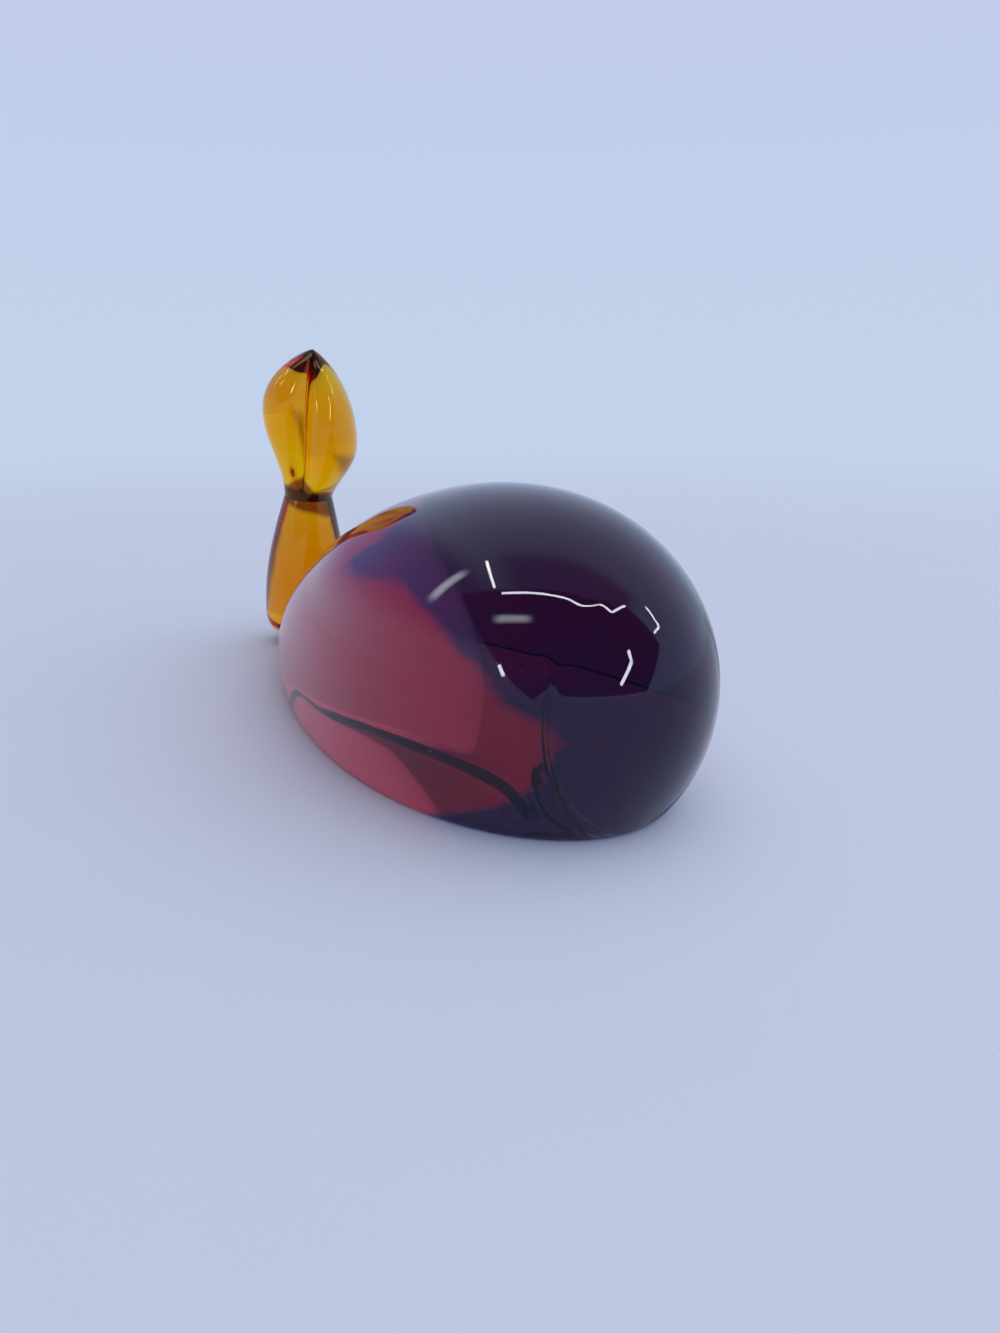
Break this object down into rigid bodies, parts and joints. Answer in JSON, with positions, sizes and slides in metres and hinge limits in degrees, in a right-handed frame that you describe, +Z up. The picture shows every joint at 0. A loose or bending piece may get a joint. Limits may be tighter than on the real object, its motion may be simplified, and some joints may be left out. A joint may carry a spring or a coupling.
{
  "type": "whale figurine",
  "caption": "Solid glass whale ornament: a long egg-shaped ruby body on a flat ground base, with a leaning amber tail that ends in plump flukes; stands free on a shelf or desk.",
  "frame": {"origin": "on the flat ground base, below the middle of the body's length", "axes": "+X towards the head, +Z up, the tail on the -X end"},
  "size_m": [0.1383, 0.0542, 0.0665],
  "materials": {
    "ruby_glass": "fire-polished, deep ruby that turns plum where it is thick",
    "amber_glass": "fire-polished, clear amber"
  },
  "bodies": {
    "root": {"body": "ruby_glass", "tail_stem": "amber_glass", "left_fluke": "amber_glass", "right_fluke": "amber_glass"}
  },
  "joints": []
}
